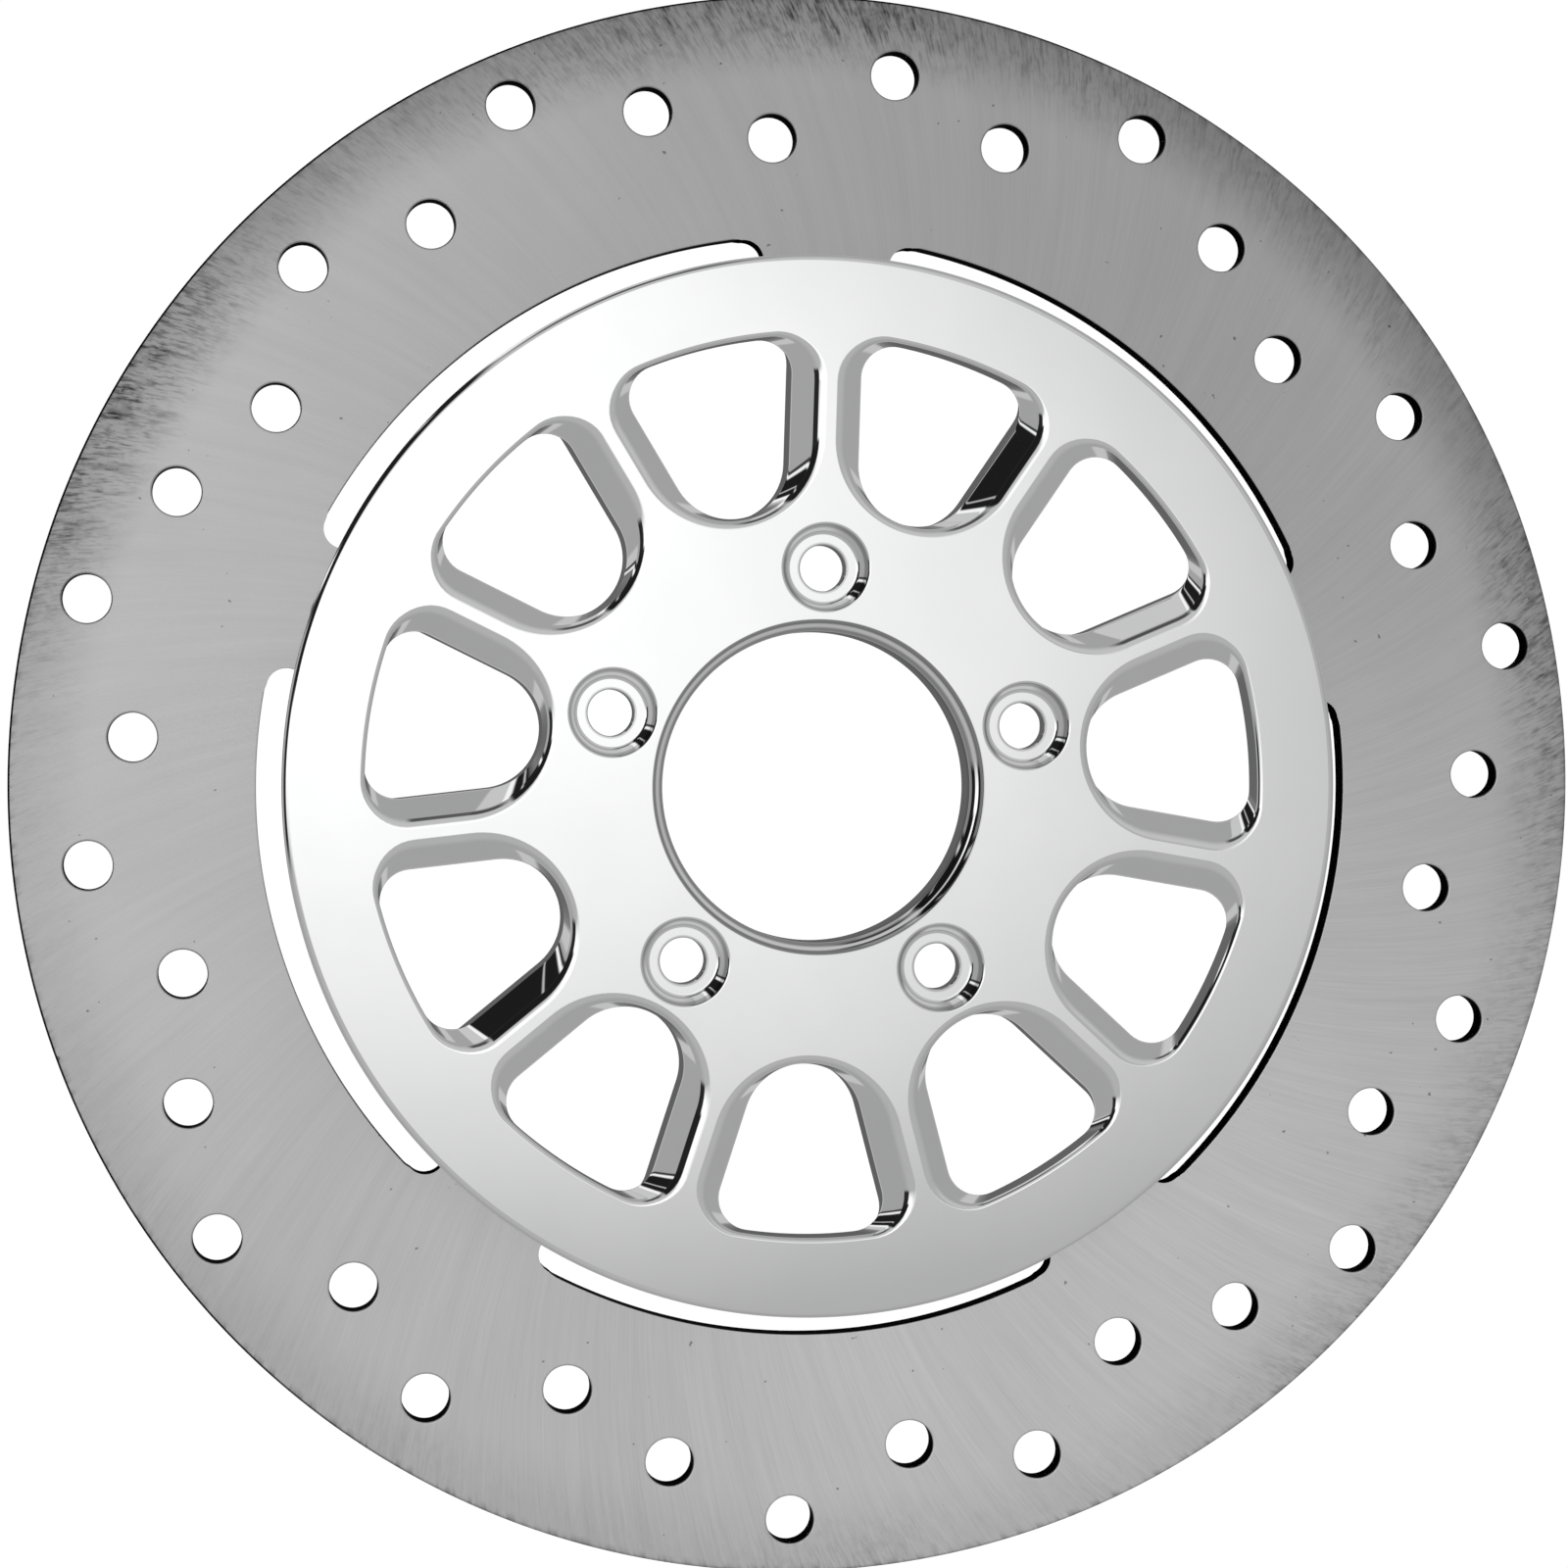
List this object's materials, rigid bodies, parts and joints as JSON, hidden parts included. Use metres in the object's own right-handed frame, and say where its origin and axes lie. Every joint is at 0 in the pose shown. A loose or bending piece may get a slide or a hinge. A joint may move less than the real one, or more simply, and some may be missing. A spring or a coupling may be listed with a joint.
{
  "type": "brake disc rotor",
  "caption": "Floating brake disc: a drilled, ground friction ring hung by flanged bobbins on a round chromed carrier with tapered windows, a bored hub and counterbored bolt holes.",
  "frame": {"origin": "on the disc's axis, in the plane of the hub's mounting face, which is the lowest face", "axes": "+Z along the disc's axis, out of the chromed outer face; +X and +Y lie in the plane of the disc"},
  "size_m": [0.3, 0.3, 0.021],
  "materials": {
    "carrier_chrome": "show chrome plate over polished billet aluminium",
    "ring_steel": "stainless steel, ground with a radial cross-hatch",
    "bobbin_steel": "turned and hardened steel",
    "spring_steel": "blued spring steel",
    "washer_zinc": "zinc plate",
    "screw_steel": "dark plated steel"
  },
  "bodies": {
    "carrier_body": {"carrier": "carrier_chrome", "drive_bobbin_1": "bobbin_steel", "drive_bobbin_2": "bobbin_steel", "drive_bobbin_3": "bobbin_steel", "drive_bobbin_4": "bobbin_steel", "drive_bobbin_5": "bobbin_steel", "wave_washer_1": "spring_steel", "wave_washer_2": "spring_steel", "wave_washer_3": "spring_steel", "wave_washer_4": "spring_steel", "wave_washer_5": "spring_steel", "retaining_washer_1": "washer_zinc", "retaining_washer_2": "washer_zinc", "retaining_washer_3": "washer_zinc", "retaining_washer_4": "washer_zinc", "retaining_washer_5": "washer_zinc", "button_head_screw_1": "screw_steel", "button_head_screw_2": "screw_steel", "button_head_screw_3": "screw_steel", "button_head_screw_4": "screw_steel", "button_head_screw_5": "screw_steel"},
    "ring_body": {"friction_ring": "ring_steel"}
  },
  "joints": [
    {"name": "ring_float", "type": "slide", "parent": "carrier_body", "child": "ring_body", "axis": [0, 0, 1], "range_m": [-0.0002, 0.0002], "stiffness_N_per_m": 150000}
  ]
}
